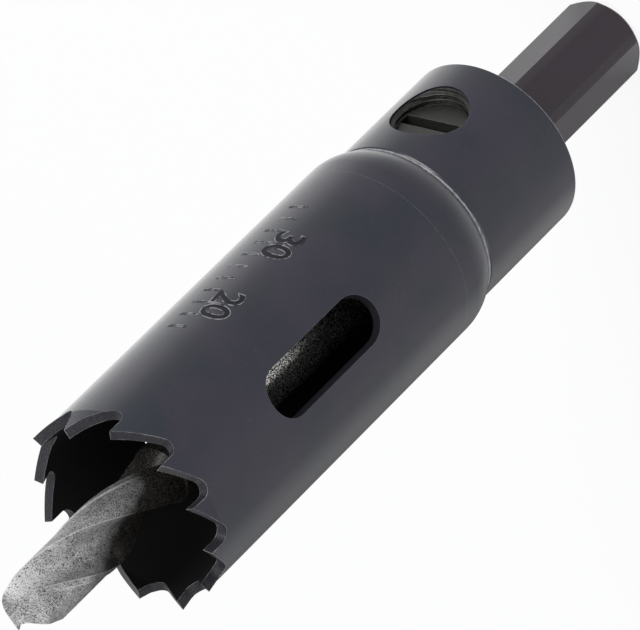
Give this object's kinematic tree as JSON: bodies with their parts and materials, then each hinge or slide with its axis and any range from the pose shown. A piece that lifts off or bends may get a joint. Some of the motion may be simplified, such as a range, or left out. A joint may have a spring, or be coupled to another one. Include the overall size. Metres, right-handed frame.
{
  "type": "hole saw",
  "caption": "Toothed steel cup saw welded to an arbor with a hex shank, with a twist-drill pilot held by a grub screw; cuts round holes in sheet.",
  "frame": {"origin": "centre of the end face of the hex shank", "axes": "+Z along the tool's axis from the shank to the drill point; the grub screw is on the +X -Y side and the chip slots look near -Y and +Y"},
  "size_m": [0.0218, 0.0216, 0.0992],
  "materials": {
    "wall_paint": "satin blue-grey stoved paint",
    "cap_paint": "satin blue-grey stoved paint",
    "arbor_paint": "satin blue-grey stoved paint",
    "screw_steel": "satin black oxide",
    "drill_steel": "bright ground high speed steel"
  },
  "bodies": {
    "root": {"saw_wall": "wall_paint", "end_cap": "cap_paint", "arbor": "arbor_paint", "grub_screw": "screw_steel", "pilot_drill": "drill_steel"}
  },
  "joints": []
}
